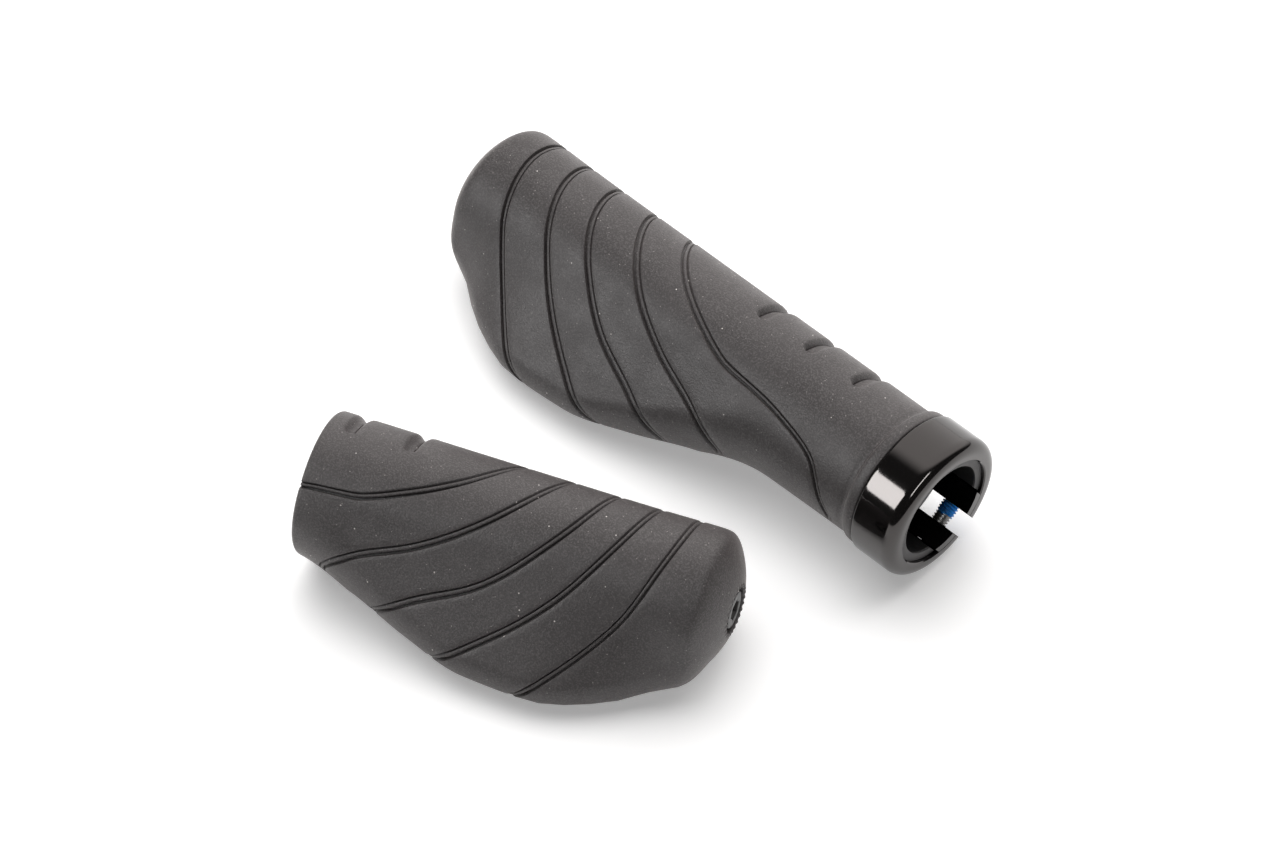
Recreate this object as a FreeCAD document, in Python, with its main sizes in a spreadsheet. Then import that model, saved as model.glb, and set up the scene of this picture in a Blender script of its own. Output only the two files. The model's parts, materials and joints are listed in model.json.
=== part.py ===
import FreeCAD, Part
import math
import os
import re
from FreeCAD import Placement, Rotation, Vector

# A pair of ergonomic handlebar grips with a palm wing. The left grip is long and is clamped to the
# bar by a split collar. The right grip is short, and an expander inside the bar's end holds it.
# Each grip is drawn along its own bar axis: x runs inward from the outer tip, z is up, and the bar's
# axis is y = z = 0. The row frame has +X along the left grip's bar axis and +Z up from the table.

SIZES = {
    # The handlebar and the plastic core sleeve under the rubber
    "bar_bore": 11.15,              # radius that slides over a 22.2 mm bar
    "sleeve_radius": 13.1,
    "sleeve_start": 11.0,           # where the bar's end stops in the right grip
    "relief_radius": 11.35,         # the right sleeve's bore round the expander
    "relief_end": 49.0,
    # The rubber body
    "left_length": 138.2,
    "right_length": 96.0,
    "dome_radius": 25.0,            # the outer end is a shallow dome
    "crease_blend": 0.8,            # softens the dome's edge
    "section_pitch": 6.0,           # the loft's sections along the straight of the grip
    "end_wall": 7.0,
    "base_depth": 16.0,             # the wing's underside lies this far below the bar axis
    "wing_blend": 8.0,              # the wing drops to that depth over this much reach
    "flange_radius": 16.7,
    "flange_width": 3.0,
    "flange_round": 1.2,
    # Finger notches on the front of the barrel
    "notch_width": 2.8,
    "notch_floor": 14.2,
    "notch_pitch": 13.7,
    "notch_first": 81.2,
    "right_notch_first": 76.7,
    "notch_low": 60.0,              # degrees from straight down
    "notch_high": 168.0,
    # Lock collar, its jaws and its screw
    "collar_radius": 17.25,
    "collar_length": 12.0,
    "collar_bore": 13.15,
    "collar_round": 2.6,
    "sleeve_recess": 1.0,
    "seam": 0.2,
    "jaw_bore": 11.45,
    "jaw_half": 7.6,
    "jaw_room": 0.4,
    "gap_width": 5.0,
    "gap_turn": 30.7,               # degrees forward of straight down
    "screw_offset": 13.8,           # the clamp screw's axis below the bar's
    "screw_setback": 5.5,
    "screw_seat": 4.8,
    "screw_hole": 2.05,
    "head_pocket": 3.15,
    "patch_radius": 2.2,
    "patch_width": 1.5,
    "patch_start": 0.9,
    # M4 clamp screw and M5 expander bolt
    "clamp_shank": 1.97,
    "clamp_reach": 10.0,
    "clamp_head": 2.9,
    "clamp_head_height": 2.8,
    "clamp_key": 1.732,             # across the corners of a 3 mm key, halved
    "clamp_key_depth": 1.6,
    "bolt_shank": 2.46,
    "bolt_reach": 40.0,
    "bolt_head": 4.25,
    "bolt_head_height": 5.0,
    "head_round": 0.4,
    "bolt_key": 2.309,              # the same for a 4 mm key
    "bolt_key_depth": 2.6,
    "bolt_top": 0.9,
    # The expander in the right grip's outer end
    "end_hole": 5.2,
    "washer_radius": 5.0,
    "washer_hole": 2.65,
    "washer_thickness": 1.1,
    "thread_hole": 2.54,
    "spigot_radius": 8.4,
    "spigot_length": 1.5,
    "shoe_start": 12.8,
    "shoe_end": 30.0,
    "shoe_radius": 8.6,
    "shoe_bore": 3.2,
    "shoe_sweep": 110.0,
    "shoe_room": 0.3,
    "taper_run": 2.7,
    "wedge_start": 20.0,
    "wedge_length": 16.0,
    "wedge_tip": 4.6,
    "wedge_slope": 0.2126,          # tangent of 12 degrees
    # Where the two grips lie
    "left_x": -69.37,
    "left_y": 41.47,
    "left_z": 16.13,
    "left_tilt": 0.87,              # the collar lifts the inner end, in degrees
    "left_heading": 0.0,
    "right_x": 53.76,
    "right_y": -6.8,
    "right_z": 16.34,
    "right_tilt": 0.0,
    "right_heading": 202.3,         # degrees, from the outer tip towards the inner end
}

# The rubber's cross-section along the grip: distance from the tip, how far the wing's edge circle
# lies from the bar axis, that circle's radius, and the barrel's radius
STATIONS = (
    (0.0, 1.0, 15.2, 16.1),
    (6.0, 6.0, 11.0, 16.0),
    (12.0, 10.5, 8.3, 15.9),
    (22.0, 19.0, 6.2, 15.7),
    (37.0, 24.2, 5.7, 15.6),
    (52.0, 23.2, 6.0, 15.6),
    (67.0, 16.8, 8.4, 15.6),
    (82.0, 8.2, 12.0, 15.6),
    (100.0, 1.4, 15.0, 15.6),
    (138.2, 0.6, 15.4, 15.6),
)

# Where the domed end is sectioned as well
DOME_STEPS = (0.4, 1.0, 1.8, 2.8, 3.8, 4.8, 5.8, 7.0, 9.0)

BAR = Rotation(Vector(0, 1, 0), 90)          # turns a primitive's own z axis along the bar
OUTWARD = Rotation(Vector(0, 1, 0), -90)     # towards the grip's outer tip
BACKWARD = Rotation(Vector(1, 0, 0), 90)     # across the bar, to the clamp screw's head side
WING_SIDE = {"left": -1, "right": 1}

doc = FreeCAD.newDocument("bar_end_grips")
sheet = doc.addObject("Spreadsheet::Sheet", "sizes")
for row, (alias, value) in enumerate(SIZES.items(), start=1):
    sheet.set(f"A{row}", alias)
    sheet.set(f"B{row}", str(value))
    sheet.setAlias(f"B{row}", alias)
doc.recompute()
nodes = {}


def size(alias):
    return float(sheet.get(alias))


def formula(text):
    """An expression in which each alias refers to the sheet."""
    return re.sub(r"[a-z_]+", lambda word: f"sizes.{word.group()}" if word.group() in SIZES
                  else word.group(), text)


def primitive(kind, name, sizes, turn=Rotation(), at=()):
    """A Part primitive whose sizes and place are bound to the sheet."""
    obj = doc.addObject(f"Part::{kind}", name)
    obj.Placement = Placement(Vector(), turn)
    for prop, text in sizes.items():
        obj.setExpression(prop, formula(text))
    for axis, text in zip("xyz", at):
        obj.setExpression(f"Placement.Base.{axis}", formula(text))
    return obj


def rod(name, radius, start, length, turn=BAR):
    return primitive("Cylinder", name, {"Radius": radius, "Height": length}, turn, (start,))


def box(name, size_xyz, at):
    return primitive("Box", name, dict(zip(("Length", "Width", "Height"), size_xyz)), at=at)


def cut(name, base, *tools):
    for number, tool in enumerate(tools, start=1):
        result = doc.addObject("Part::Cut", f"{name}_cut_{number}")
        result.Base, result.Tool = base, tool
        base = result
    return base


def fuse(name, *shapes):
    result = doc.addObject("Part::MultiFuse", f"{name}_fused")
    result.Shapes = list(shapes)
    return result


def common(name, *shapes):
    result = doc.addObject("Part::MultiCommon", f"{name}_common")
    result.Shapes = list(shapes)
    return result


def fillet(name, base, radius, chosen):
    """Rounds the edges of base that chosen() accepts."""
    doc.recompute()
    result = doc.addObject("Part::Fillet", f"{name}_round")
    result.Base = base
    result.Edges = [(number, radius, radius) for number, edge in enumerate(base.Shape.Edges, 1)
                    if chosen(edge)]
    return result


def points_on(edge, count=5):
    first, last = edge.ParameterRange
    return [edge.valueAt(first + (last - first) * step / (count - 1)) for step in range(count)]


def ring_edge(x, radius):
    """Accepts the circles of this radius at this distance from the tip."""
    def accepts(edge):
        return all(abs(p.x - x) < 0.01 and abs(math.hypot(p.y, p.z) - radius) < 0.01
                   for p in points_on(edge))
    return accepts


def grip_place(side, turn=0.0):
    """Where a grip lies; turn rotates the piece about the bar axis."""
    base = Vector(size(f"{side}_x"), size(f"{side}_y"), size(f"{side}_z"))
    heading = Rotation(Vector(0, 0, 1), size(f"{side}_heading"))
    tilt = Rotation(Vector(0, 1, 0), -size(f"{side}_tilt"))
    return Placement(base, heading.multiply(tilt).multiply(Rotation(Vector(1, 0, 0), turn)))


def keep(name, obj, place):
    """Makes obj the sub-part called name."""
    obj.Label = name
    obj.Placement = place
    nodes[name] = obj


def inset(x, barrel):
    """How far the domed end lies inside the straight barrel, with a softened crease."""
    dome = math.sqrt(x * (2 * size("dome_radius") - x))
    return size("crease_blend") * math.log1p(math.exp((barrel - dome) / size("crease_blend")))


def outline(station, side):
    """The barrel's arc, the wing's edge arc and the two straight flanks between them."""
    x, reach, edge_radius, barrel = station
    drop = (size("base_depth") - edge_radius) * min(1.0, reach / size("wing_blend"))
    lean = math.atan2(-drop, reach)
    spread = math.acos((barrel - edge_radius) / math.hypot(reach, drop))
    if x < 2 * DOME_STEPS[-1]:
        edge_radius, barrel = (r - inset(x, station[3]) for r in (edge_radius, barrel))

    def point(angle, radius, across, up):
        return Vector(x, WING_SIDE[side] * (across + radius * math.cos(angle)),
                      up + radius * math.sin(angle))

    upper, lower = lean + spread, lean - spread
    round_barrel = [point(a, barrel, 0, 0) for a in (upper, lean + math.pi, lower + 2 * math.pi)]
    round_wing = [point(a, edge_radius, reach, -drop) for a in (lower, lean, upper)]
    return Part.Wire([Part.Arc(*round_barrel).toShape(),
                      Part.makeLine(round_barrel[2], round_wing[0]),
                      Part.Arc(*round_wing).toShape(),
                      Part.makeLine(round_wing[2], round_barrel[0])])


def slope_at(number, column):
    """The outline's slope at a station: none at a peak, else the harmonic mean of its sides'."""
    if number in (0, len(STATIONS) - 1):
        return 0.0
    before, here, after = STATIONS[number - 1:number + 2]
    left = (here[column] - before[column]) / (here[0] - before[0])
    right = (after[column] - here[column]) / (after[0] - here[0])
    return 2 * left * right / (left + right) if left * right > 0 else 0.0


def between(x):
    """The cross-section's sizes at x, on a smooth curve through the stations."""
    number = max(i for i in range(len(STATIONS) - 1) if STATIONS[i][0] <= x)
    low, high = STATIONS[number:number + 2]
    run = high[0] - low[0]
    share = (x - low[0]) / run
    rise = share * share * (3 - 2 * share)
    sizes = [low[column] * (1 - rise) + high[column] * rise
             + run * share * (1 - share) * ((1 - share) * slope_at(number, column)
                                            - share * slope_at(number + 1, column))
             for column in (1, 2, 3)]
    return (x, *sizes)


def rubber_blank(side, length):
    """The rubber's outer shape, lofted from the domed outer tip to the inner end."""
    spans = math.ceil((length - DOME_STEPS[-1]) / size("section_pitch"))
    step = (length - DOME_STEPS[-1]) / spans
    places = list(DOME_STEPS[:-1]) + [DOME_STEPS[-1] + step * n for n in range(spans + 1)]
    loft = doc.addObject("Part::Feature", f"{side}_rubber_loft")
    loft.Shape = Part.makeLoft([outline(between(x), side) for x in places], True)
    return loft


def notches(side, first, count):
    """Slots round the front of the barrel, where the fingers close."""
    low, high = size("notch_low"), size("notch_high")
    start = low if side == "left" else -high
    slots = []
    for number in range(count):
        name = f"{side}_notch_{number + 1}"
        x = f"{first} + {number} * notch_pitch - notch_width / 2"
        wedge = primitive("Cylinder", f"{name}_wedge",
                          {"Radius": "2 * notch_floor", "Height": "notch_width",
                           "Angle": "notch_high - notch_low"},
                          Rotation(Vector(1, 0, 0), start).multiply(BAR), (x,))
        floor = rod(f"{name}_floor", "notch_floor", x, "notch_width")
        slots.append(cut(name, wedge, floor))
    return fuse(f"{side}_notches", *slots)


def cap_screw(name, kind):
    """A socket head screw with its head's top at the origin and its shank along -z."""
    head = primitive("Cylinder", f"{name}_head",
                     {"Radius": f"{kind}_head", "Height": f"{kind}_head_height"},
                     at=("0", "0", f"-{kind}_head_height"))
    head = fillet(f"{name}_head", head, size("head_round"),
                  lambda edge: all(abs(p.z) < 0.01 for p in points_on(edge)))
    shank = primitive("Cylinder", f"{name}_shank",
                      {"Radius": f"{kind}_shank", "Height": f"{kind}_reach"},
                      at=("0", "0", f"-{kind}_head_height - {kind}_reach"))
    socket = primitive("Prism", f"{name}_socket",
                       {"Circumradius": f"{kind}_key", "Height": f"{kind}_key_depth"},
                       at=("0", "0", f"-{kind}_key_depth"))
    socket.Polygon = 6
    return cut(name, fuse(name, head, shank), socket)


def left_grip():
    end = size("left_length") - size("collar_length") - size("seam")
    turn = size("gap_turn")
    collar_start = "left_length - collar_length"

    blank = rubber_blank("left", end)
    flange = fillet("left_flange",
                    rod("left_flange", "flange_radius", f"{collar_start} - seam - flange_width",
                        "flange_width"),
                    size("flange_round"), lambda edge: edge.Length > 50)
    core = rod("left_core_room", "sleeve_radius", "end_wall", "left_length")
    rubber = cut("left_grip_rubber", fuse("left_rubber", blank, flange), core,
                 notches("left", "notch_first", 3))
    keep("left_grip_rubber", rubber, grip_place("left"))

    sleeve = cut("left_core_sleeve",
                 rod("left_sleeve_tube", "sleeve_radius", "end_wall",
                     "left_length - sleeve_recess - end_wall"),
                 rod("left_sleeve_bore", "bar_bore", "end_wall - 1", "left_length"),
                 box("left_sleeve_slot",
                     ("2 * collar_length", "2 * (jaw_half + jaw_room)", "2 * sleeve_radius"),
                     (f"{collar_start} - seam", "-jaw_half - jaw_room", "-2 * sleeve_radius")))
    keep("left_core_sleeve", sleeve, grip_place("left", turn))

    blank = fillet("left_collar",
                   rod("left_collar_blank", "collar_radius", collar_start, "collar_length"),
                   size("collar_round"), ring_edge(size("left_length"), size("collar_radius")))
    ring = cut("left_collar_ring", blank,
               rod("left_collar_bore", "collar_bore", f"{collar_start} - 1", "2 * collar_length"))
    jaws = common("left_collar_jaws",
                  rod("left_jaw_round", "collar_bore + 1", collar_start, "collar_length"),
                  box("left_jaw_block", ("collar_length", "2 * jaw_half", "collar_radius"),
                      (collar_start, "-jaw_half", "-collar_radius - 5")))
    jaws = cut("left_collar_jaws", jaws,
               rod("left_jaw_bore", "jaw_bore", f"{collar_start} - 1", "2 * collar_length"))
    gap = box("left_collar_gap", ("2 * collar_length", "gap_width", "2 * collar_radius"),
              (f"{collar_start} - 1", "-gap_width / 2", "-2 * collar_radius - 5"))
    screw_x, screw_z = "left_length - screw_setback", "-screw_offset"
    hole = primitive("Cylinder", "left_screw_hole",
                     {"Radius": "screw_hole", "Height": "4 * collar_radius"},
                     BACKWARD, (screw_x, "2 * collar_radius", screw_z))
    pocket = primitive("Cylinder", "left_head_pocket",
                       {"Radius": "head_pocket", "Height": "collar_radius"},
                       BACKWARD, (screw_x, "-screw_seat", screw_z))
    collar = cut("left_lock_collar", fuse("left_lock_collar", ring, jaws), gap, hole, pocket)
    keep("left_lock_collar", collar, grip_place("left", turn))

    screw_place = grip_place("left", turn).multiply(Placement(
        Vector(size("left_length") - size("screw_setback"),
               -size("screw_seat") - size("clamp_head_height"), -size("screw_offset")), BACKWARD))
    keep("left_clamp_screw", cap_screw("left_clamp_screw", "clamp"), screw_place)
    patch_z = "-clamp_head_height - screw_seat - patch_start - patch_width"
    patch = cut("left_threadlock_patch",
                primitive("Cylinder", "left_patch_band",
                          {"Radius": "patch_radius", "Height": "patch_width"},
                          at=("0", "0", patch_z)),
                primitive("Cylinder", "left_patch_hole",
                          {"Radius": "clamp_shank", "Height": "3 * patch_width"},
                          at=("0", "0", f"{patch_z} - patch_width")))
    keep("left_threadlock_patch", patch, screw_place)


def right_grip():
    place = grip_place("right")

    rubber = cut("right_grip_rubber", rubber_blank("right", size("right_length")),
                 rod("right_core_room", "sleeve_radius", "end_wall", "right_length"),
                 rod("right_end_hole", "end_hole", "-1", "end_wall + 2"),
                 notches("right", "right_notch_first", 2))
    keep("right_grip_rubber", rubber, place)

    sleeve = cut("right_core_sleeve",
                 rod("right_sleeve_tube", "sleeve_radius", "sleeve_start",
                     "right_length - sleeve_start"),
                 rod("right_sleeve_bore", "bar_bore", "sleeve_start - 1", "right_length"),
                 rod("right_sleeve_relief", "relief_radius", "sleeve_start - 1",
                     "relief_end - sleeve_start + 1"))
    keep("right_core_sleeve", sleeve, place)

    disc = rod("right_insert_disc", "sleeve_radius", "end_wall", "sleeve_start - end_wall")
    spigot = rod("right_insert_spigot", "spigot_radius", "sleeve_start", "spigot_length")
    insert = cut("right_end_insert", fuse("right_end_insert", disc, spigot),
                 rod("right_insert_hole", "thread_hole", "end_wall - 1", "2 * sleeve_start"))
    keep("right_end_insert", insert, place)

    bolt_place = place.multiply(Placement(Vector(size("bolt_top"), 0, 0), OUTWARD))
    keep("right_expander_bolt", cap_screw("right_expander_bolt", "bolt"), bolt_place)
    washer = cut("right_bolt_washer",
                 rod("right_washer_disc", "washer_radius", "end_wall - washer_thickness",
                     "washer_thickness"),
                 rod("right_washer_hole", "washer_hole", "0", "2 * end_wall"))
    keep("right_bolt_washer", washer, place)

    wedge_end = "wedge_tip + wedge_slope * wedge_length"
    wedge = cut("right_wedge_nut",
                primitive("Cone", "right_wedge_body",
                          {"Radius1": "wedge_tip", "Radius2": wedge_end,
                           "Height": "wedge_length"}, BAR, ("wedge_start",)),
                rod("right_wedge_thread", "thread_hole", "wedge_start - 1", "2 * wedge_length"))
    keep("right_wedge_nut", wedge, place)
    for number in range(3):
        expander_shoe(number + 1, 120.0 * number)


def expander_shoe(number, turn):
    """One third of the expander: a sector whose tapered pocket the wedge nut slides into."""
    name = f"right_expander_segment_{number}"
    sector = primitive("Cylinder", f"{name}_sector",
                       {"Radius": "shoe_radius", "Height": "shoe_end - shoe_start",
                        "Angle": "shoe_sweep"},
                       Rotation(Vector(1, 0, 0), -size("shoe_sweep") / 2).multiply(BAR),
                       ("shoe_start",))
    pocket = primitive("Cone", f"{name}_pocket",
                       {"Radius1": "wedge_tip + shoe_room - wedge_slope * taper_run",
                        "Radius2": "wedge_tip + shoe_room + wedge_slope * wedge_length",
                        "Height": "wedge_length + taper_run"},
                       BAR, ("wedge_start - taper_run",))
    shoe = cut(name, sector, pocket,
               rod(f"{name}_bore", "shoe_bore", "shoe_start - 1", "2 * shoe_end"))
    keep(name, shoe, grip_place("right", turn))


left_grip()
right_grip()
doc.recompute()

for obj in doc.Objects:
    if {"Invalid", "Error"} & set(obj.State):
        raise RuntimeError(f"{obj.Label} failed: {obj.State}")
for name, obj in nodes.items():
    if obj.Shape.isNull() or not obj.Shape.isValid() or len(obj.Shape.Solids) != 1:
        raise RuntimeError(f"{name} is not one valid solid")

os.makedirs("parts", exist_ok=True)
for name, obj in nodes.items():
    obj.Shape.exportStep(f"parts/{name}.step")
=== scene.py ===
import json
import math

import bmesh
import bpy
import numpy as np
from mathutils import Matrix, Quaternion, Vector


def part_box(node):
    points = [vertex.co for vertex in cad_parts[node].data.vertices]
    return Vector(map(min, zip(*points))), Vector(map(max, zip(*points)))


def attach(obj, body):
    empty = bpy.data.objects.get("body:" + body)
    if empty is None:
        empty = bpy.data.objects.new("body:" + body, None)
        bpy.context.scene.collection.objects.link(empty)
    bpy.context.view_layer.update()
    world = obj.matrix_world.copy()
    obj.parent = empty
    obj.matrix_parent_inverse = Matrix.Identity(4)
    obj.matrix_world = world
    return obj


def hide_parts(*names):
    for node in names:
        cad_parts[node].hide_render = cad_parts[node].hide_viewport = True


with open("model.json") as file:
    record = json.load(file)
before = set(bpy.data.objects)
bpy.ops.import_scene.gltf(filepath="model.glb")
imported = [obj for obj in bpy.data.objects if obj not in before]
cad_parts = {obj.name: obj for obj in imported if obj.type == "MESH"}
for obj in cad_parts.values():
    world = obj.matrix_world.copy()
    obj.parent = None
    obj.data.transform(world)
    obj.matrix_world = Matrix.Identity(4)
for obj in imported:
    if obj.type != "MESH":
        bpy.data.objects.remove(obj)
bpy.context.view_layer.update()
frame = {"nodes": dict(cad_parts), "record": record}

# A pair of ergonomic handlebar grips. Each grip is drawn along its own bar axis in millimetres: x runs
# inward from the outer tip, z is up, and the bar's axis is y = z = 0. place() takes it to the row frame.

MM = 0.001

# Where the bar bore's mount lies, from the outer tip: it ties each grip to the record
MOUNT_X = {"left": 67.0, "right": 72.5}
WING_SIDE = {"left": -1, "right": 1}
GAP_TURN = math.radians(30.7)           # the collar's gap is this far forward of straight down

# The rubber's cross-section along the grip: distance from the tip, how far the wing's edge circle
# lies from the bar axis, that circle's radius, and the barrel's radius
STATIONS = np.array((
    (0.0, 1.0, 15.2, 16.1),
    (6.0, 6.0, 11.0, 16.0),
    (12.0, 10.5, 8.3, 15.9),
    (22.0, 19.0, 6.2, 15.7),
    (37.0, 24.2, 5.7, 15.6),
    (52.0, 23.2, 6.0, 15.6),
    (67.0, 16.8, 8.4, 15.6),
    (82.0, 8.2, 12.0, 15.6),
    (100.0, 1.4, 15.0, 15.6),
    (138.2, 0.6, 15.4, 15.6),
))
BARREL = 15.6
BASE_DEPTH = 16.0                       # the wing's underside lies this far below the bar axis
WING_BLEND = 8.0
DOME_RADIUS = 25.0
CREASE_BLEND = 0.8
DOME_END = 18.0                         # past this the dome no longer touches the section
DOME_RIM = 14.4                         # the dome's rings are even out to this radius
CAP_X = 0.4                             # the dome is closed by a cap inside this section
CREASE_END = 8.0
SLEEVE_RADIUS = 13.1
END_WALL = 7.0
END_HOLE = 5.2

# The long grooves. Along the rubber's path round a section, 0 is the front of the barrel, 1 is the
# wing's edge by way of the top, and 2 is the front again by way of the underside. Each groove's
# distances from the tip are given at these places.
GROOVE_KNOTS = (0.0, 0.25, 0.40, 0.55, 0.70, 0.78, 0.87, 1.0, 1.15, 1.55, 1.8)
GROOVES = (
    (13.0, 13.4, 14.1, 16.5, 20.7, 24.4, 29.8, 38.0, 42.5, 20.0, 13.2),
    (21.4, 22.6, 25.0, 30.2, 37.7, 42.6, 48.9, 57.5, 61.0, 30.0, 21.4),
    (30.6, 32.6, 36.1, 43.0, 52.5, 59.2, 66.0, 73.0, 75.0, 41.0, 30.6),
    (40.6, 43.8, 49.4, 58.4, 69.0, 75.2, 81.4, 86.8, 88.0, 52.0, 40.6),
    (50.7, 55.5, 62.9, 74.8, 92.0, 107.1, 113.8, 117.2, 118.0, 66.0, 50.4),
)
# Across a groove: distance from its middle, towards the inner end, and depth. Two slits flank a
# raised band, and the slit on the outer tip's side is the wider.
GROOVE_PROFILE = ((-1.0, 0.0), (-0.90, 0.04), (-0.84, 0.50), (-0.76, 1.05), (-0.44, 1.05),
                  (-0.35, 0.50), (-0.16, 0.24), (0.10, 0.20), (0.32, 0.26), (0.44, 0.66),
                  (0.54, 0.74), (0.66, 0.60), (0.76, 0.08), (0.92, 0.0))
GROOVE_FADE = (1.07, 1.13, 1.80, 1.90)  # along the path: full, gone, gone, full

# The finger notches: where they are, their section and their ends as angles from the wing's side over
# the top. Across a notch, towards the inner end: a long slope, a crease, a floor and a round shoulder.
NOTCHES = {"left": (81.2, 94.9, 108.6), "right": (76.7, 90.4)}
NOTCH_PROFILE = ((-2.4, 0.0), (-2.0, 0.08), (-1.6, 0.35), (-1.3, 0.72), (-1.1, 1.0), (-1.02, 1.15),
                 (-0.95, 1.45), (-0.82, 1.45), (-0.74, 1.2), (-0.2, 1.12), (0.3, 0.98), (0.75, 0.72),
                 (1.15, 0.38), (1.5, 0.14), (1.9, 0.02), (2.2, 0.0))
NOTCH_END_RUN = 2.2
NOTCH_ENDS = (math.radians(102.0), math.radians(210.0))

# The inner end of each rubber: the collar's flange on the left, a plain rounded mouth on the right
LEFT_END = 126.35
RIGHT_END = 96.0
FLANGE = ((4.9, 0.0), (4.4, -0.08), (3.9, -0.18), (3.45, -0.16), (3.15, 0.0), (3.0, 0.25), (2.92, 0.55),
          (2.7, 0.82), (2.35, 1.0), (1.9, 1.08), (1.3, 1.1), (0.7, 1.08), (0.3, 1.0), (0.12, 0.86),
          (0.03, 0.66), (0.0, 0.4), (0.0, -0.2))
MOUTH_ROUND = 1.0

# The lock collar: a ring with a full round lip, two jaws that stand into the bore, and a gap. The jaws
# start inside the ring's metal and stop short of both its ends.
COLLAR_START, COLLAR_END = 126.8, 138.2
COLLAR_RADIUS = 17.25
COLLAR_BORE = 13.15
COLLAR_EDGE = 0.3
LIP, LIP_FULLNESS = 3.0, 2.3
BORE_EDGE = 0.25
JAW_BORE, JAW_HALF, JAW_ROOT = 11.45, 7.6, 0.6
JAW_START, JAW_END = COLLAR_START + 0.1, COLLAR_END - 0.05
GAP_HALF, GAP_OVERLAP = 2.5, 0.5

# The clamp screw crosses the gap, towards +y: where its axis and its head's top are, its thread, and the
# hole, pocket and seat that the collar has for it. Cutters reach past the collar on both sides.
SCREW_X, SCREW_DROP, SCREW_TOP = 132.7, 13.8, 7.6
SCREW_CREST, SCREW_PITCH = 1.97, 0.7
SCREW_HOLE, HEAD_POCKET, SCREW_SEAT = 2.05, 3.15, 4.8
CUTTER_REACH = 30


def grip_axes(side):
    """The grip's outer tip and its three axes in the row frame, from its bar bore's mount."""
    mount = next(m for m in frame["record"]["mounts"] if m["name"] == f"{side}_bar_bore")
    along = np.array(mount["axis"])
    across = np.cross((0.0, 0.0, 1.0), along)
    across /= np.linalg.norm(across)
    tip = np.array(mount["pos_m"]) - along * MOUNT_X[side] * MM
    return tip, np.array((along, across, np.cross(along, across)))


def place(points, side, turn=0.0):
    """Points of a grip, turned about the bar axis and taken to the row frame in metres."""
    tip, axes = grip_axes(side)
    x, y, z = np.moveaxis(np.asarray(points, float), -1, 0)
    turned = np.stack((x, y * math.cos(turn) - z * math.sin(turn),
                       y * math.sin(turn) + z * math.cos(turn)), -1)
    return tip + turned @ axes * MM


def smooth_curve(knots, values, at):
    """A curve through the points that is flat at a peak and has no overshoot."""
    knots, values = np.asarray(knots, float), np.asarray(values, float)
    steps = np.diff(values) / np.diff(knots)
    product, total = steps[:-1] * steps[1:], steps[:-1] + steps[1:]
    slopes = np.zeros(len(knots))
    slopes[1:-1] = np.where(product > 0, 2 * product / np.where(product > 0, total, 1), 0)
    low = np.clip(np.searchsorted(knots, at, side="right") - 1, 0, len(knots) - 2)
    run = knots[low + 1] - knots[low]
    share = np.clip((at - knots[low]) / run, 0, 1)
    rise = share * share * (3 - 2 * share)
    bend = (1 - share) * slopes[low] - share * slopes[low + 1]
    return values[low] * (1 - rise) + values[low + 1] * rise + run * share * (1 - share) * bend


def ease(value, start, end):
    """0 before start and 1 after end, with a smooth rise between."""
    share = np.clip((value - start) / (end - start), 0, 1)
    return share * share * (3 - 2 * share)


# ---------------------------------------------------------------- meshes

def link(name, mesh):
    piece = bpy.data.objects.new(name, mesh)
    bpy.context.scene.collection.objects.link(piece)
    return piece


def ring_mesh(name, rows, closed=False, sharp=55.0):
    """A closed skin through rings of points. A ring of equal points is a pole."""
    rows = np.asarray(rows)
    count, columns = rows.shape[:2]
    number = np.arange(count * columns).reshape(count, columns)
    after = np.roll(number, -1, axis=1)
    quads = np.stack((number[:-1], after[:-1], after[1:], number[1:]), -1).reshape(-1, 4)
    if closed:
        seam = np.stack((number[-1], after[-1], after[0], number[0]), -1)
        quads = np.concatenate((quads, seam))
    mesh = bpy.data.meshes.new(name)
    mesh.from_pydata(rows.reshape(-1, 3).tolist(), [], quads.tolist())
    weld(mesh)
    mesh.shade_smooth()
    mesh.set_sharp_from_angle(angle=math.radians(sharp))
    return link(name, mesh)


def weld(mesh, gap=2e-6):
    """Joins points that coincide and turns every face outward."""
    work = bmesh.new()
    work.from_mesh(mesh)
    bmesh.ops.remove_doubles(work, verts=work.verts, dist=gap)
    bmesh.ops.dissolve_degenerate(work, edges=work.edges, dist=gap / 2)
    bmesh.ops.recalc_face_normals(work, faces=work.faces)
    work.to_mesh(mesh)
    work.free()


def add_piece(piece, body, slot, material, *nodes):
    """Gives a new piece its finish and its body, and hides the CAD nodes that it stands for."""
    piece.data.materials.append(material)
    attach(piece, body)
    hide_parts(*nodes)


# ---------------------------------------------------------------- the rubber

def section_sizes(x):
    """Wing reach, wing drop, the two radii and the angles of the upper and lower flanks, at x."""
    reach, edge, barrel = (smooth_curve(STATIONS[:, 0], STATIONS[:, n], x) for n in (1, 2, 3))
    drop = (BASE_DEPTH - edge) * np.minimum(1, reach / WING_BLEND)
    lean = np.arctan2(-drop, reach)
    spread = np.arccos((barrel - edge) / np.hypot(reach, drop))
    dome = np.sqrt(np.clip(x * (2 * DOME_RADIUS - x), 0, None))
    inset = CREASE_BLEND * np.log1p(np.exp(np.clip((barrel - dome) / CREASE_BLEND, -40, 40)))
    inset = np.where(x < DOME_END, inset, 0)
    return reach, drop, edge - inset, barrel - inset, lean + spread, lean - spread


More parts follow.
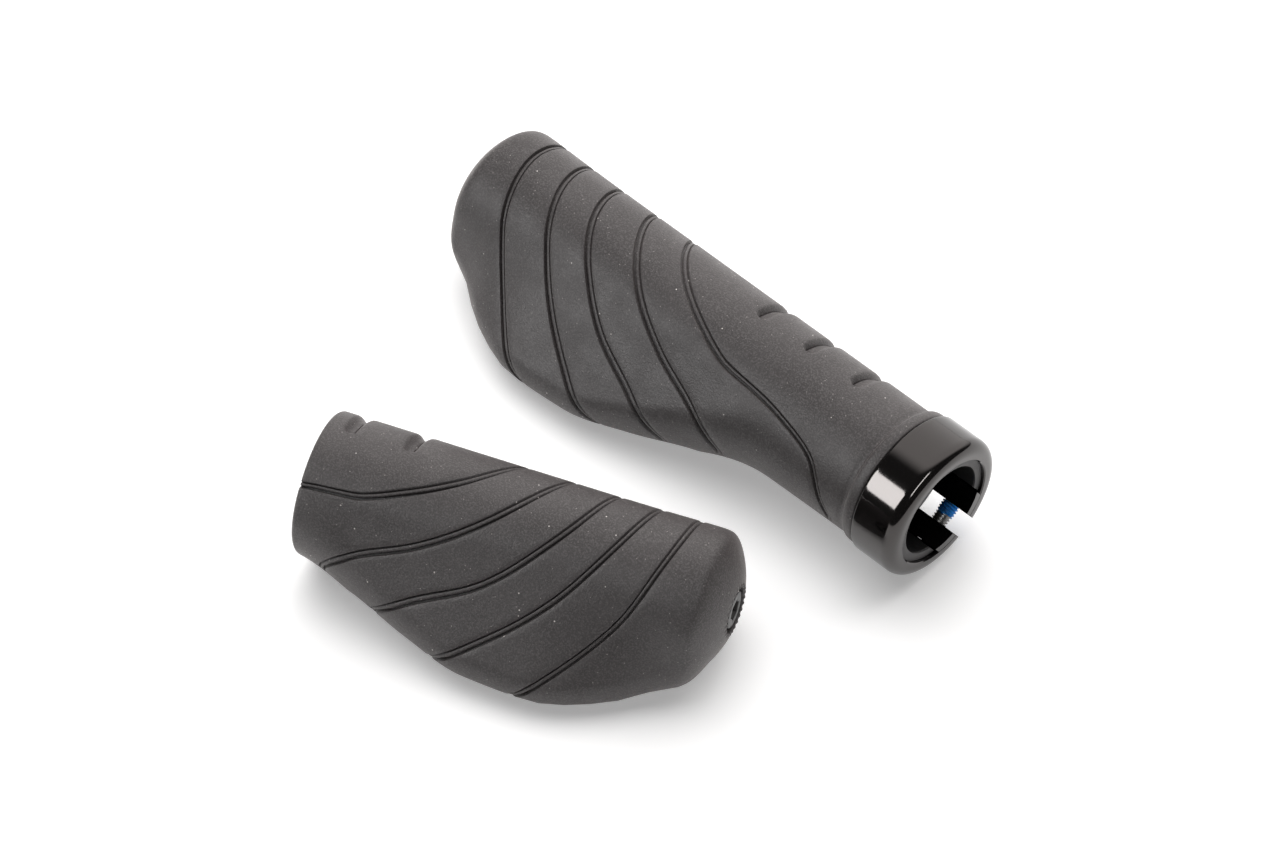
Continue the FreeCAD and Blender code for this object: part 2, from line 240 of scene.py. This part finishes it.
def skin(x, path):
    """The smooth rubber: across and up from the bar axis, and the outward angle, at x and path."""
    reach, drop, edge, barrel, upper, lower = section_sizes(x)
    flank = np.sqrt(reach ** 2 + drop ** 2 - (barrel - edge) ** 2)
    over = path <= 1
    first = np.where(over, barrel * (math.pi - upper), -edge * lower)
    last = np.where(over, edge * upper, barrel * (math.pi + lower))
    run = np.where(over, path, path - 1) * (first + flank + last)
    on_first, on_last = run < first, run > first + flank
    near, far = np.where(over, barrel, edge), np.where(over, edge, barrel)
    turned = np.where(on_first, (first - run) / near, 0) - np.where(on_last, (run - first - flank) / far, 0)
    angle = np.where(over, upper, lower) + turned
    wing_share = np.clip((run - first) / flank, 0, 1)
    wing_share = np.where(over, wing_share, 1 - wing_share)
    radius = barrel + (edge - barrel) * wing_share
    across = reach * wing_share + radius * np.cos(angle)
    up = -drop * wing_share + radius * np.sin(angle)
    return across, up, angle


def closed_spline(knots, values, period, at):
    """The smoothest curve through the points of one turn, which joins itself at the period."""
    knots, values = np.append(knots, knots[0] + period), np.append(values, values[0])
    runs = np.diff(knots)
    steps = np.diff(values) / runs
    count = len(runs)
    system = np.zeros((count, count))
    for number in range(count):
        before, here = runs[number - 1], runs[number]
        system[number, number - 1] += before
        system[number, number] += 2 * (before + here)
        system[number, (number + 1) % count] += here
    bends = np.linalg.solve(system, 6 * (steps - np.roll(steps, 1)))
    low = np.clip(np.searchsorted(knots, at, side="right") - 1, 0, count - 1)
    before, run = at - knots[low], runs[low]
    after, high_bend = run - before, np.roll(bends, -1)[low]
    value = values[low] * after / run + values[low + 1] * before / run
    value += bends[low] * (after ** 3 / run - run * after) / 6
    return value + high_bend * (before ** 3 / run - run * before) / 6


def groove_track(number, path):
    return closed_spline(GROOVE_KNOTS, GROOVES[number], 2.0, path)


def groove_steepness(number, path):
    """The groove's length per unit of distance round the grip, where the path is about 56 mm."""
    step, top_path = 1e-3, 56.0
    ahead = groove_track(number, np.mod(path + step, 2))
    behind = groove_track(number, np.mod(path - step, 2))
    return np.hypot(1, (ahead - behind) / (2 * step * top_path))


def groove_depth(x, path):
    """How deep the grooves are at x and path."""
    offsets, depths = np.array(GROOVE_PROFILE).T
    full, gone, back, again = GROOVE_FADE
    strength = 1 - ease(path, full, gone) + ease(path, back, again)
    depth = np.zeros_like(x)
    for number in range(len(GROOVES)):
        off = (x - groove_track(number, path)) / groove_steepness(number, path)
        depth = np.maximum(depth, np.interp(off, offsets, depths))
    return depth * strength


def notch_depth(side, x, path, angle):
    """How deep the finger notches are: each narrows and rises to a round end."""
    offsets, depths = np.array(NOTCH_PROFILE).T
    front = np.where(path > 1, angle + 2 * math.pi, angle)
    inside = BARREL * np.minimum(front - NOTCH_ENDS[0], NOTCH_ENDS[1] - front)
    share = np.clip(inside / NOTCH_END_RUN, 0, 1)
    narrowing = np.sqrt(share * (2 - share)) + 1e-6
    depth = np.zeros_like(x)
    for middle in NOTCHES[side]:
        depth = np.maximum(depth, np.interp((x - middle) / narrowing, offsets, depths))
    return depth * ease(inside, 0, 0.7)


def carved(side, x, path):
    """The rubber's skin with its grooves and notches carved in."""
    across, up, angle = skin(x, path)
    depth = groove_depth(x, path) + notch_depth(side, x, path, angle)
    return np.stack((x, across - depth * np.cos(angle), up - depth * np.sin(angle)), -1)


def path_columns():
    """Places round the grip, closest at the ends of the notches."""
    front = np.linspace(0.0, 0.34, 56, endpoint=False)
    notch_ends = np.linspace(0.34, 0.46, 44, endpoint=False)
    top = np.linspace(0.46, 1.0, 90, endpoint=False)
    wing_edge = np.linspace(1.0, 1.15, 16, endpoint=False)
    under = np.linspace(1.15, 1.72, 34, endpoint=False)
    front_under = np.linspace(1.72, 2.0, 34, endpoint=False)
    return np.concatenate((front, notch_ends, top, wing_edge, under, front_under))


def row_places(side, path, last):
    """Distances from the tip of every ring, at each place round the grip. Rings follow the grooves
    and the notches, so that their edges stay sharp."""
    groove_offsets = np.array([offset for offset, _ in GROOVE_PROFILE])
    notch_offsets = np.array([offset for offset, _ in NOTCH_PROFILE])
    bands = []
    for number in range(len(GROOVES)):
        centre, scale = groove_track(number, path), groove_steepness(number, path)
        bands.append(centre + groove_offsets[:, None] * scale)
    ceiling = bands[-1][-1]
    for middle in NOTCHES[side]:
        room = last - ceiling
        squeezed = ceiling + (middle - 70.0) / (LEFT_END - 70.0) * room
        blend = ease(ceiling, middle - 16.0, middle - 5.0)
        centre = middle * (1 - blend) + squeezed * blend
        bands.append(centre + notch_offsets[:, None] * np.clip(room / 40.0, 0.05, 1))
    rings, before = [], np.full_like(path, CREASE_END)
    for band in bands:
        gap = np.median(band[0] - before)
        between = max(3, int(gap / 0.9))
        shares = (np.arange(between) / between)[:, None]
        rings.append(before * (1 - shares) + band[0] * shares)
        rings.append(band[:-1])
        before = band[-1]
    shares = np.linspace(0, 1, 10, endpoint=False)[:, None]
    rings.append(before * (1 - shares) + last * shares)
    places = np.maximum.accumulate(np.concatenate(rings), axis=0)
    return np.minimum(places, last)


def polar_row(x, radius, angle):
    """A ring round the bar axis."""
    radius = np.broadcast_to(radius, angle.shape)
    return np.stack((np.broadcast_to(x, angle.shape), radius * np.cos(angle),
                     radius * np.sin(angle)), -1)


def dome_rows(side, path, first_radius):
    """Rings of the domed end, evenly spaced along the dome and then along the crease."""
    radii = np.linspace(first_radius, DOME_RIM, 16, endpoint=False)
    dome = DOME_RADIUS - np.sqrt(DOME_RADIUS ** 2 - radii ** 2)
    crease_start = DOME_RADIUS - math.sqrt(DOME_RADIUS ** 2 - DOME_RIM ** 2)
    crease = np.linspace(crease_start, CREASE_END, 20, endpoint=False)
    return [carved(side, np.full_like(path, x), path) for x in np.concatenate((dome, crease))]


def body_rows(side, path, last):
    return [carved(side, x, path) for x in row_places(side, path, last)]


def left_rubber():
    path = path_columns()
    cap = carved("left", np.full_like(path, CAP_X), path)
    centre = cap.mean(axis=0)
    cap_radius = math.sqrt(CAP_X * (2 * DOME_RADIUS - CAP_X))
    rows = []
    for share in np.linspace(0, 1, 6, endpoint=False):
        ring = centre + (cap - centre) * share
        ring[:, 0] = CAP_X - (1 - share ** 2) * cap_radius ** 2 / (2 * DOME_RADIUS)
        rows.append(ring)
    rows += dome_rows("left", path, cap_radius)
    rows += body_rows("left", path, LEFT_END - FLANGE[0][0])
    for from_end, rise in FLANGE:
        x = np.full_like(path, LEFT_END - from_end)
        across, up, _ = skin(x, path)
        radius, angle = np.hypot(across, up), np.arctan2(up, across)
        radius = np.maximum(radius, BARREL + rise) if rise > 0 else radius + rise
        if from_end < 1:
            radius = np.full_like(path, BARREL + rise)
        rows.append(polar_row(x, radius, angle))
    rows.append(polar_row(LEFT_END, SLEEVE_RADIUS + 0.2, angle))
    rows.append(polar_row(LEFT_END - 0.2, SLEEVE_RADIUS, angle))
    rows += [polar_row(x, SLEEVE_RADIUS, angle) for x in np.linspace(LEFT_END - 1, END_WALL, 8)]
    rows += [polar_row(END_WALL, radius, angle) for radius in (9.0, 4.0, 0.0)]
    return rows


def right_rubber():
    path = path_columns()
    rim_start, rim_round, bumps, bump_height = 6.2, 0.55, 25, 0.14
    rows = dome_rows("right", path, rim_start)
    rows += body_rows("right", path, RIGHT_END - MOUTH_ROUND)
    for turn in np.linspace(0, math.pi / 2, 8)[1:]:
        ring = carved("right", np.full_like(path, RIGHT_END - MOUTH_ROUND * (1 - math.sin(turn))), path)
        angle = np.arctan2(ring[:, 2], ring[:, 1])
        ring[:, 1] -= MOUTH_ROUND * (1 - math.cos(turn)) * np.cos(angle)
        ring[:, 2] -= MOUTH_ROUND * (1 - math.cos(turn)) * np.sin(angle)
        rows.append(ring)
    rows.append(polar_row(RIGHT_END, SLEEVE_RADIUS + 0.2, angle))
    rows.append(polar_row(RIGHT_END - 0.2, SLEEVE_RADIUS, angle))
    rows += [polar_row(x, SLEEVE_RADIUS, angle) for x in np.linspace(RIGHT_END - 1, END_WALL, 8)]
    first = rows[0]
    angle = np.arctan2(first[:, 2], first[:, 1])
    rows += [polar_row(END_WALL, radius, angle) for radius in (10.0, 7.0, END_HOLE)]
    rim_x = DOME_RADIUS - math.sqrt(DOME_RADIUS ** 2 - END_HOLE ** 2)
    rows += [polar_row(x, END_HOLE, angle) for x in (5.0, 3.0, 2.0)]
    for turn in np.linspace(0, math.pi / 2, 7):
        lift = bump_height * np.cos(bumps * angle) * math.sin(turn)
        radius = END_HOLE + rim_round * (1 - math.cos(turn))
        x = rim_x + 0.06 + rim_round * (1 - math.sin(turn))
        rows.append(polar_row(x - lift, radius, angle))
    return rows


# ---------------------------------------------------------------- screws and collar

def hexagon(apothem, angle):
    return apothem / np.cos(np.mod(angle, math.pi / 3) - math.pi / 6)


def thread_radius(along, angle, crest, root, pitch):
    """A helical thread with flat crests."""
    phase = np.mod(along / pitch - angle / (2 * math.pi), 1.0)
    ramp = np.clip((0.5 - np.abs(phase - 0.5)) * 2 * 1.35 - 0.1, 0, 1)
    return root + (crest - root) * ramp


def cap_screw_rows(head, head_height, head_round, apothem, key_depth, shank, root, pitch, reach):
    """A socket head screw: distance from the head's top along the shank, and radius, per ring."""
    angle = np.linspace(0, 2 * math.pi, 48, endpoint=False)
    flat = np.zeros_like(angle)
    key = hexagon(apothem, angle)
    rows = [(flat + key_depth + 0.35, flat), (flat + key_depth, key * 0.96), (flat + key_depth - 0.1, key)]
    rows += [(flat + 0.22, key), (flat + 0.05, key + 0.12), (flat, key + 0.22)]
    for turn in np.linspace(0, math.pi / 2, 6):
        along, inset = head_round * (1 - math.cos(turn)), head_round * (1 - math.sin(turn))
        rows.append((flat + along, flat + head - inset))
    knurl = head - 0.06 + 0.05 * np.cos(24 * angle)
    rows += [(flat + head_round + 0.15, knurl), (flat + head_height - 0.35, knurl)]
    rows += [(flat + head_height - 0.2, flat + head), (flat + head_height - 0.1, flat + head)]
    rows += [(flat + head_height, flat + head - 0.1), (flat + head_height, flat + root + 0.25)]
    end = head_height + reach
    for along in np.arange(head_height + 0.2, end - 0.05, pitch / 8):
        fade = ease(along, head_height + 0.2, head_height + 0.9) * (1 - ease(along, end - pitch, end))
        radius = thread_radius(along, angle, shank, root, pitch)
        rows.append((flat + along, root + (radius - root) * fade))
    rows += [(flat + end, flat + root - 0.25), (flat + end, flat)]
    return angle, rows


def clamp_screw_point(angle, along, radius):
    """From the clamp screw's own axis to its grip: the shank runs across the bar, towards +y."""
    return np.stack((SCREW_X + radius * np.cos(angle), along - SCREW_TOP,
                     -SCREW_DROP + radius * np.sin(angle)), -1)


def bolt_point(angle, along, radius):
    """The expander bolt lies on the bar axis, its head at the outer end."""
    return np.stack((0.9 + along, radius * np.cos(angle), radius * np.sin(angle)), -1)


def clamp_screw():
    angle, rows = cap_screw_rows(head=2.9, head_height=2.8, head_round=0.4, apothem=1.5, key_depth=1.6,
                                 shank=SCREW_CREST, root=1.55, pitch=SCREW_PITCH, reach=10.0)
    rings = [clamp_screw_point(angle, along, radius) for along, radius in rows]
    return ring_mesh("clamp_screw", place(rings, "left", GAP_TURN), sharp=40.0)


def expander_bolt():
    angle, rows = cap_screw_rows(head=4.25, head_height=5.0, head_round=0.4, apothem=2.0, key_depth=2.6,
                                 shank=2.46, root=2.0, pitch=0.8, reach=40.0)
    rings = [bolt_point(angle, along, radius) for along, radius in rows]
    return ring_mesh("expander_bolt", place(rings, "right"), sharp=40.0)


def prism(name, outline, start, end, point):
    """A straight bar with this outline from start to end, as point() lays it in the grip's axes."""
    outline = np.asarray(outline, float)
    middle = np.broadcast_to(outline.mean(axis=0), outline.shape)
    rings = [point(along, ring) for along, ring in ((start, middle), (start, outline), (end, outline),
                                                    (end, middle))]
    return ring_mesh(name, place(rings, "left", GAP_TURN))


def lengthwise(along, ring):
    return np.stack((np.full(len(ring), along), ring[:, 0], ring[:, 1]), -1)


def crosswise(along, ring):
    """Round the clamp screw's axis."""
    return np.stack((SCREW_X + ring[:, 0], np.full(len(ring), along), ring[:, 1] - SCREW_DROP), -1)


def circle(radius, points=64):
    angle = np.linspace(0, 2 * math.pi, points, endpoint=False)
    return np.stack((radius * np.cos(angle), radius * np.sin(angle)), -1)


def collar_jaw(side):
    """One jaw's outline: it stands from inside the ring's metal to the bar."""
    across = np.linspace(GAP_HALF - GAP_OVERLAP, JAW_HALF, 12)
    outer, inner = (-np.sqrt(radius ** 2 - across ** 2) for radius in (COLLAR_BORE + JAW_ROOT, JAW_BORE))
    outline = np.concatenate((np.stack((across, outer), -1), np.stack((across, inner), -1)[::-1]))
    return outline * (side, 1)


def collar_ring():
    """The whole ring: its rounded outer edge, its side, its lip and its bore."""
    turns = np.linspace(0, math.pi / 2, 25)
    power = 2 / LIP_FULLNESS
    profile = [(COLLAR_START + COLLAR_EDGE * (1 - math.sin(turn)),
                COLLAR_RADIUS - COLLAR_EDGE * (1 - math.cos(turn)))
               for turn in np.linspace(math.pi / 2, 0, 6)]
    profile += [(x, COLLAR_RADIUS) for x in np.linspace(COLLAR_START + 1, COLLAR_END - LIP - 0.5, 8)]
    profile += [(COLLAR_END - LIP * (1 - math.sin(turn) ** power),
                 COLLAR_RADIUS - LIP * (1 - max(math.cos(turn), 0) ** power)) for turn in turns]
    profile += [(COLLAR_END, COLLAR_BORE + BORE_EDGE), (COLLAR_END - BORE_EDGE, COLLAR_BORE)]
    profile += [(COLLAR_START + BORE_EDGE, COLLAR_BORE), (COLLAR_START, COLLAR_BORE + BORE_EDGE)]
    angle = np.linspace(0, 2 * math.pi, 240, endpoint=False)
    rings = [polar_row(x, radius, angle) for x, radius in profile]
    return ring_mesh("lock_collar", place(rings, "left", GAP_TURN), closed=True)


def join_solids(piece, *steps):
    """Adds solids to a piece or cuts them from it, and deletes them."""
    for operation, solid in steps:
        modifier = piece.modifiers.new(operation.lower(), "BOOLEAN")
        modifier.operation, modifier.solver, modifier.object = operation, "EXACT", solid
    evaluated = piece.evaluated_get(bpy.context.evaluated_depsgraph_get())
    mesh = bpy.data.meshes.new_from_object(evaluated)
    piece.modifiers.clear()
    piece.data = mesh
    for _, solid in steps:
        bpy.data.objects.remove(solid)
    return piece


def lock_collar():
    gap = np.array(((-1, -2), (1, -2), (1, -0.3), (-1, -0.3))) * (GAP_HALF, COLLAR_RADIUS)
    before, after = COLLAR_START - 1, COLLAR_END + 1
    collar = join_solids(
        collar_ring(),
        ("UNION", prism("jaw", collar_jaw(1), JAW_START, JAW_END, lengthwise)),
        ("UNION", prism("other_jaw", collar_jaw(-1), JAW_START, JAW_END, lengthwise)),
        ("DIFFERENCE", prism("gap", gap, before, after, lengthwise)),
        ("DIFFERENCE", prism("screw_hole", circle(SCREW_HOLE), -CUTTER_REACH, CUTTER_REACH, crosswise)),
        ("DIFFERENCE", prism("head_pocket", circle(HEAD_POCKET), -CUTTER_REACH, -SCREW_SEAT, crosswise)))
    weld(collar.data)
    collar.data.shade_smooth()
    collar.data.set_sharp_from_angle(angle=math.radians(35))
    return collar


def threadlock_patch():
    """A coat of threadlocker on the screw's thread, thin at its ragged ends."""
    angle = np.linspace(0, 2 * math.pi, 48, endpoint=False)
    start, end, coat = 7.3, 10.05, 0.13
    rows = [(np.full_like(angle, start), np.full_like(angle, 1.5))]
    ragged = 0.16 * np.sin(3 * angle) + 0.1 * np.sin(7 * angle + 1)
    for share in np.linspace(0, 1, 34):
        along = start + ragged + (end - start - ragged) * share
        thickness = coat * np.minimum(1, 6 * min(share, 1 - share) + 0.15)
        rows.append((along, thread_radius(along, angle, SCREW_CREST, 1.58, SCREW_PITCH) + thickness))
    rows.append((np.full_like(angle, end), np.full_like(angle, 1.5)))
    rings = [clamp_screw_point(angle, along, radius) for along, radius in rows]
    return ring_mesh("threadlock_patch", place(rings, "left", GAP_TURN), closed=True)


# ---------------------------------------------------------------- materials

class Look:
    """A node material under construction. Textures read the object's own coordinates."""

    def __init__(self, name, **inputs):
        self.material = bpy.data.materials.new(name)
        self.material.use_nodes = True
        self.tree = self.material.node_tree
        self.shader = self.tree.nodes["Principled BSDF"]
        for socket, value in inputs.items():
            self.shader.inputs[socket.replace("_", " ")].default_value = value
        self.coordinates = self.node("ShaderNodeTexCoord").outputs["Object"]

    def node(self, kind, **inputs):
        made = self.tree.nodes.new(kind)
        for socket, value in inputs.items():
            self.join(value, made.inputs[socket.replace("_", " ")])
        return made

    def join(self, value, socket):
        if isinstance(value, bpy.types.NodeSocket):
            self.tree.links.new(value, socket)
        else:
            socket.default_value = value

    def noise(self, scale, detail=2.0, roughness=0.5, stretch=None):
        """Noise from 0 to 1 with this many waves a metre."""
        vector = self.coordinates
        if stretch is not None:
            vector = self.node("ShaderNodeMapping", Vector=vector, Scale=stretch).outputs[0]
        made = self.node("ShaderNodeTexNoise", Vector=vector, Scale=scale, Detail=detail,
                         Roughness=roughness)
        return made.outputs["Fac"]

    def spread(self, value, low, high, to_low=0.0, to_high=1.0):
        made = self.node("ShaderNodeMapRange")
        for socket, number in zip(("Value", "From Min", "From Max", "To Min", "To Max"),
                                  (value, low, high, to_low, to_high)):
            self.join(number, made.inputs[socket])
        return made.outputs["Result"]

    def mix(self, share, first, second):
        made = self.tree.nodes.new("ShaderNodeMix")
        made.data_type = "RGBA"
        for socket, value in ((0, share), (6, first), (7, second)):
            self.join(value, made.inputs[socket])
        return made.outputs[2]

    def specks(self, cell, size, share):
        """Small dots, one in each cell of this many metres, in this share of the cells."""
        made = self.node("ShaderNodeTexVoronoi", Vector=self.coordinates, Scale=1 / cell)
        dots = self.spread(made.outputs["Distance"], size, size * 0.5)
        chosen = self.node("ShaderNodeSeparateColor", Color=made.outputs["Color"]).outputs["Red"]
        kept = self.node("ShaderNodeMath")
        kept.operation = "LESS_THAN"
        self.join(chosen, kept.inputs[0])
        self.join(share, kept.inputs[1])
        both = self.node("ShaderNodeMath")
        both.operation = "MULTIPLY"
        self.join(dots, both.inputs[0])
        self.join(kept.outputs[0], both.inputs[1])
        return both.outputs[0]

    def paint(self, colour=None, roughness=None):
        if colour is not None:
            self.join(colour, self.shader.inputs["Base Color"])
        if roughness is not None:
            self.join(roughness, self.shader.inputs["Roughness"])

    def bump(self, *heights):
        """Each height is a texture, its depth in metres and its strength."""
        normal = None
        for texture, depth, strength in heights:
            made = self.node("ShaderNodeBump", Height=texture, Distance=depth, Strength=strength)
            if normal is not None:
                self.join(normal, made.inputs["Normal"])
            normal = made.outputs["Normal"]
        self.join(normal, self.shader.inputs["Normal"])
        return self.material


def rubber_look():
    look = Look("grip_rubber", Specular_IOR_Level=0.5, Sheen_Weight=0.18, Sheen_Roughness=0.4,
                Sheen_Tint=(1.0, 0.90, 0.86, 1.0))
    cloud = look.spread(look.noise(45, 4, 0.6), 0.3, 0.7)
    colour = look.mix(cloud, (0.037, 0.0325, 0.0325, 1), (0.050, 0.0445, 0.0445, 1))
    grain = look.noise(2700, 2, 0.6)
    colour = look.mix(look.spread(grain, 0.46, 0.66, 0, 0.75), colour, (0.105, 0.096, 0.096, 1))
    dust = look.specks(0.0012, 0.13, 0.34)
    lint = look.specks(0.0024, 0.08, 0.3)
    colour = look.mix(dust, colour, (0.30, 0.275, 0.265, 1))
    colour = look.mix(lint, colour, (0.75, 0.70, 0.67, 1))
    look.paint(colour, look.spread(look.noise(160, 3), 0.3, 0.7, 0.44, 0.54))
    return look.bump((grain, 0.00014, 0.7), (look.noise(1100, 3), 0.00014, 0.25))


def anodised_look():
    look = Look("anodised_aluminium", Specular_IOR_Level=0.75, Specular_Tint=(1.0, 0.94, 0.92, 1.0))
    turned = look.noise(600, 3, 0.6, stretch=(9.0, 0.6, 0.6))
    colour = look.mix(turned, (0.0022, 0.0020, 0.0020, 1), (0.0036, 0.0033, 0.0033, 1))
    look.paint(colour, look.spread(turned, 0.25, 0.75, 0.07, 0.12))
    return look.bump((turned, 0.000004, 0.2), (look.noise(2500, 2), 0.000004, 0.15))


def core_plastic_look():
    """Painted shade and painted light: very dark as the shade inside the bores, and paler on the end face
    of the long grip's sleeve, painted as its lit face, with real scuff marks on it.
    """
    look = Look("core_plastic", Specular_IOR_Level=0.3)
    cloud = look.noise(420, 4, 0.65)
    across = look.node("ShaderNodeSeparateXYZ", Vector=look.coordinates).outputs["X"]
    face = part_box("left_core_sleeve")[1].x
    # Painted light: this mask picks the end face of the long grip's sleeve, painted as lit; the rest is
    # painted as shade.
    lit_face_mask = look.spread(across, face - 0.0007, face - 0.0005)
    # Painted shade: very dark, for the shade inside the sleeves' bores.
    painted_shade_inside = look.mix(cloud, (0.004, 0.004, 0.004, 1), (0.009, 0.0086, 0.0086, 1))
    # Painted light: the paler tone of the lit end face; the specks mixed in below are real scuff marks.
    painted_light_and_scuffs = look.mix(cloud, (0.060, 0.058, 0.058, 1), (0.115, 0.112, 0.112, 1))
    marks = look.specks(0.0011, 0.12, 0.4)
    painted_light_and_scuffs = look.mix(marks, painted_light_and_scuffs, (0.30, 0.30, 0.30, 1))
    look.paint(look.mix(lit_face_mask, painted_shade_inside, painted_light_and_scuffs), look.spread(cloud, 0.3, 0.7, 0.45, 0.6))
    return look.bump((look.noise(2200, 3), 0.00006, 0.4), (cloud, 0.0002, 0.2))


def insert_plastic_look():
    look = Look("insert_plastic", Specular_IOR_Level=0.4)
    grain = look.noise(3000, 3)
    colour = look.mix(grain, (0.018, 0.018, 0.018, 1), (0.032, 0.031, 0.031, 1))
    look.paint(colour, look.spread(grain, 0.3, 0.7, 0.5, 0.65))
    return look.bump((grain, 0.00006, 0.4))


def metal_look(name, dark, light, low, high):
    look = Look(name, Metallic=1.0)
    brushed = look.noise(900, 3, 0.6, stretch=(1.0, 4.0, 4.0))
    look.paint(look.mix(brushed, dark, light), look.spread(brushed, 0.3, 0.7, low, high))
    return look.bump((brushed, 0.00001, 0.3))


def plain_aluminium_look():
    return metal_look("plain_aluminium", (0.50, 0.50, 0.51, 1), (0.66, 0.66, 0.67, 1), 0.30, 0.45)


def screw_steel_look():
    return metal_look("screw_steel", (0.34, 0.335, 0.33, 1), (0.52, 0.515, 0.51, 1), 0.24, 0.38)


def bolt_steel_look():
    return metal_look("bolt_steel", (0.020, 0.0195, 0.019, 1), (0.050, 0.049, 0.048, 1), 0.30, 0.45)


def threadlock_look():
    look = Look("threadlock", Specular_IOR_Level=0.5)
    grain = look.noise(4500, 3)
    colour = look.mix(grain, (0.006, 0.26, 0.86, 1), (0.02, 0.42, 1.0, 1))
    look.paint(colour, look.spread(grain, 0.3, 0.7, 0.40, 0.6))
    return look.bump((grain, 0.00005, 0.4))


def floor_look():
    look = Look("studio_floor", Specular_IOR_Level=0.1, Emission_Color=(1, 1, 1, 1),
                Emission_Strength=0.32)
    cloud = look.noise(3, 2)
    look.paint(look.mix(cloud, (0.86, 0.86, 0.86, 1), (0.88, 0.88, 0.88, 1)), 0.9)
    return look.material


# ---------------------------------------------------------------- the object

def repaint(node, material):
    """Gives a CAD node that stays a better material."""
    slots = frame["nodes"][node].data.materials
    slots.clear()
    slots.append(material)


def build_object():
    rubber, plastic = rubber_look(), core_plastic_look()
    aluminium, steel = plain_aluminium_look(), screw_steel_look()
    left = ring_mesh("left_rubber", placed(left_rubber(), "left"))
    right = ring_mesh("right_rubber", placed(right_rubber(), "right"), closed=True)
    add_piece(left, "grips", "grip_rubber", rubber, "left_grip_rubber")
    add_piece(right, "grips", "grip_rubber", rubber, "right_grip_rubber")
    add_piece(clamp_screw(), "clamp_screw", "screw_steel", steel, "left_clamp_screw")
    add_piece(threadlock_patch(), "clamp_screw", "threadlock", threadlock_look(), "left_threadlock_patch")
    add_piece(expander_bolt(), "expander_bolt", "screw_steel", bolt_steel_look(), "right_expander_bolt")
    add_piece(lock_collar(), "grips", "anodised_aluminium", anodised_look(), "left_lock_collar")
    repaint("left_core_sleeve", plastic)
    repaint("right_core_sleeve", plastic)
    repaint("right_end_insert", insert_plastic_look())
    repaint("right_bolt_washer", steel)
    for node in ("right_wedge_nut", "right_expander_segment_1", "right_expander_segment_2",
                 "right_expander_segment_3"):
        repaint(node, aluminium)


def placed(rows, side):
    """The wing is drawn towards +y, and on the left grip it points the other way."""
    rows = np.array(rows)
    rows[..., 1] *= WING_SIDE[side]
    return place(rows, side)


# ---------------------------------------------------------------- the studio

CAMERA_AZIMUTH = math.radians(-46.44)
CAMERA_ELEVATION = math.radians(52.71)
CAMERA_DISTANCE = 1.2132
CAMERA_TARGET = Vector((-0.0043, 0.0235, 0.0))
CAMERA_LENS = 155.05


def add_camera():
    data = bpy.data.cameras.new("camera")
    data.lens = CAMERA_LENS
    data.sensor_width = 36.0
    camera = bpy.data.objects.new("camera", data)
    level = math.cos(CAMERA_ELEVATION)
    back = Vector((level * math.cos(CAMERA_AZIMUTH), level * math.sin(CAMERA_AZIMUTH),
                   math.sin(CAMERA_ELEVATION)))
    camera.location = CAMERA_TARGET + back * CAMERA_DISTANCE
    camera.rotation_euler = (-back).to_track_quat("-Z", "Y").to_euler()
    bpy.context.scene.collection.objects.link(camera)
    bpy.context.scene.camera = camera


def add_floor():
    half = 4.0
    mesh = bpy.data.meshes.new("studio_floor")
    corners = [(-half, -half, 0), (half, -half, 0), (half, half, 0), (-half, half, 0)]
    mesh.from_pydata(corners, [], [(0, 1, 2, 3)])
    mesh.materials.append(floor_look())
    link("studio_floor", mesh)


def add_softbox(name, direction, distance, width, height, power, roll=0.0, target=(0.0, 0.02, 0.02)):
    """An area light that faces the object, from a compass direction and an elevation in degrees."""
    azimuth, elevation = (math.radians(angle) for angle in direction)
    away = Vector((math.cos(elevation) * math.cos(azimuth), math.cos(elevation) * math.sin(azimuth),
                   math.sin(elevation)))
    data = bpy.data.lights.new(name, "AREA")
    data.shape = "RECTANGLE"
    data.size, data.size_y = width, height
    data.energy = power
    light = bpy.data.objects.new(name, data)
    light.location = Vector(target) + away * distance
    roll_turn = Quaternion((0, 0, 1), math.radians(roll))
    light.rotation_euler = ((-away).to_track_quat("-Z", "Y") @ roll_turn).to_euler()
    bpy.context.scene.collection.objects.link(light)
    return light


def add_world():
    """A dim room with a broad bright wall behind the object, whose edges are soft."""
    world = bpy.data.worlds.new("studio")
    world.use_nodes = True
    tree = world.node_tree
    background = tree.nodes["Background"]
    azimuth, elevation = math.radians(115), math.radians(40)
    towards_wall = (math.cos(elevation) * math.cos(azimuth), math.cos(elevation) * math.sin(azimuth),
                    math.sin(elevation))
    direction = tree.nodes.new("ShaderNodeTexCoord").outputs["Generated"]
    facing = tree.nodes.new("ShaderNodeVectorMath")
    facing.operation = "DOT_PRODUCT"
    facing.inputs[1].default_value = towards_wall
    tree.links.new(direction, facing.inputs[0])
    glow = tree.nodes.new("ShaderNodeMapRange")
    glow.interpolation_type = "SMOOTHSTEP"
    for name, value in (("From Min", 0.58), ("From Max", 0.82), ("To Min", 0.06), ("To Max", 1.5)):
        glow.inputs[name].default_value = value
    tree.links.new(facing.outputs["Value"], glow.inputs["Value"])
    tree.links.new(glow.outputs["Result"], background.inputs["Strength"])
    background.inputs["Color"].default_value = (1.0, 0.97, 0.955, 1.0)
    bpy.context.scene.world = world


def light_studio():
    add_world()
    overhead = add_softbox("overhead", (150, 62), 1.4, 2.0, 2.0, 25)
    overhead.visible_glossy = False
    for name, direction, width, height, power, roll in (
            ("front_left", (241, 33), 0.45, 0.66, 11, 0),
            ("lip_strip", (-22, 52), 0.95, 0.16, 5.5, 29)):
        reflected = add_softbox(name, direction, 1.4, width, height, power, roll)
        reflected.visible_diffuse = False
    bpy.context.scene.view_settings.view_transform = "Standard"


build_object()
add_camera()
add_floor()
light_studio()
